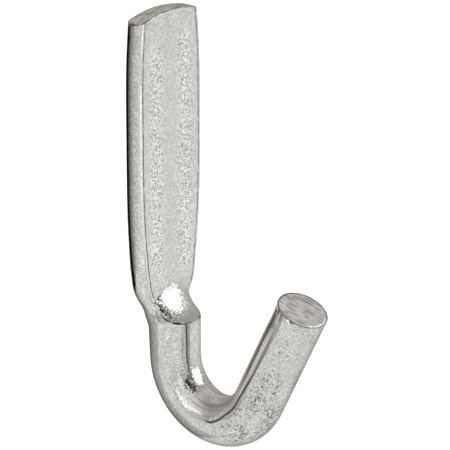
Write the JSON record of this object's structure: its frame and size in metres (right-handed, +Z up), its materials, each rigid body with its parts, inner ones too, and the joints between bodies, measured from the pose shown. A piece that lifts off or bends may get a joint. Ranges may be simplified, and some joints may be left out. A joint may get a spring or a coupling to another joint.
{
  "type": "weld-on tarp hook",
  "caption": "Round steel bar bent to a J, its upper end pressed to a flat leaf-shaped shank for welding and its open arm leaning out to hold a tarp rope or strap.",
  "frame": {"origin": "centre of the weld face, the flat back of the shank", "axes": "+X from the weld face out to the open side of the hook, +Y across the flat, +Z up along the shank"},
  "size_m": [0.0396, 0.0188, 0.0831],
  "materials": {
    "zinc_steel": "zinc plated, satin, with fine pits and sheared ends"
  },
  "bodies": {
    "root": {"hook": "zinc_steel"}
  },
  "joints": []
}
